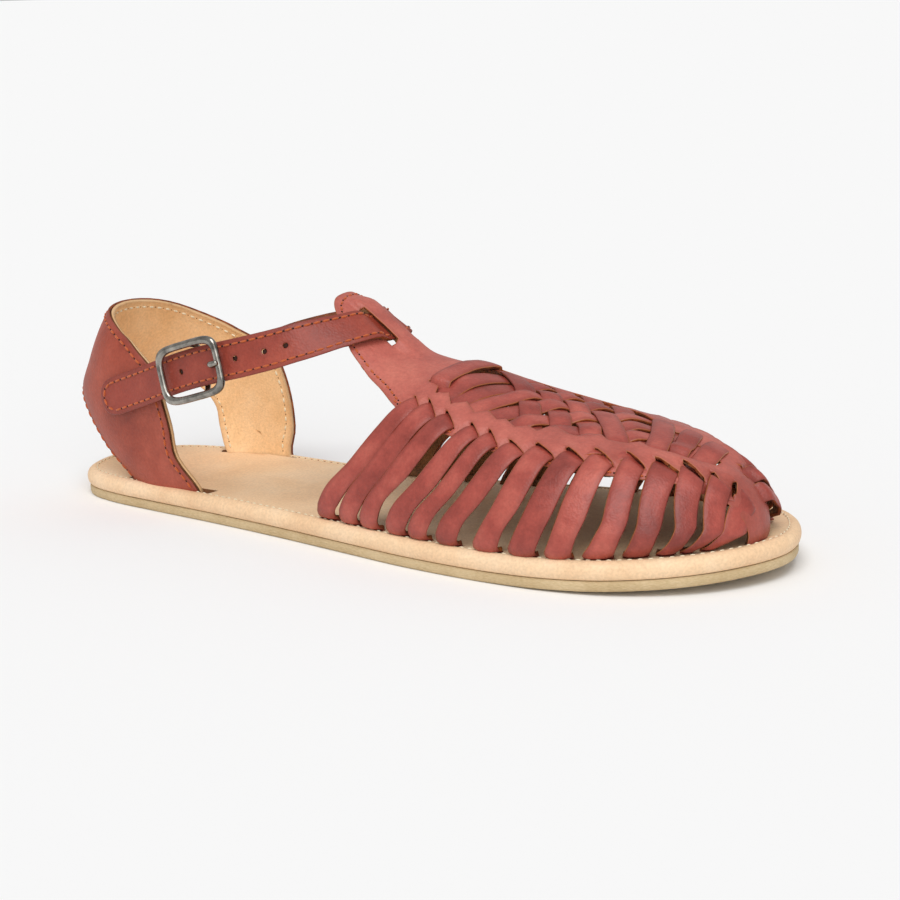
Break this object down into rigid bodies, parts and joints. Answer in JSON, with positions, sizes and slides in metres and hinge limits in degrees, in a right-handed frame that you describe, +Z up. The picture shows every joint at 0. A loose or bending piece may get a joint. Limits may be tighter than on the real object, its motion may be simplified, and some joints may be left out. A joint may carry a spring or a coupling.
{
  "type": "huarache sandal",
  "caption": "Flat red-brown leather huarache sandal with a woven closed toe, open ribbed sides, heel counter and a buckled ankle strap, right foot.",
  "frame": {"origin": "middle of the bounding box, on the floor under the sole", "axes": "+X towards the toe, +Y towards the inner (medial) side of the right foot, +Z up"},
  "size_m": [0.25, 0.0897, 0.0694],
  "materials": {
    "outsole_rubber": "matt crepe rubber, pale khaki",
    "footbed_leather": "undyed vegetable-tanned leather, smooth",
    "upper_leather": "aniline red-brown leather with raw tan edges",
    "strap_leather": "aniline red-brown leather, stitched edges",
    "buckle_metal": "antique nickel, softly polished"
  },
  "bodies": {
    "root": {"outsole": "outsole_rubber", "footbed": "footbed_leather", "upper": "upper_leather", "heel_counter": "upper_leather", "ankle_strap": "strap_leather", "buckle_frame": "buckle_metal", "buckle_prong": "buckle_metal", "buckle_tab": "strap_leather"}
  },
  "joints": []
}
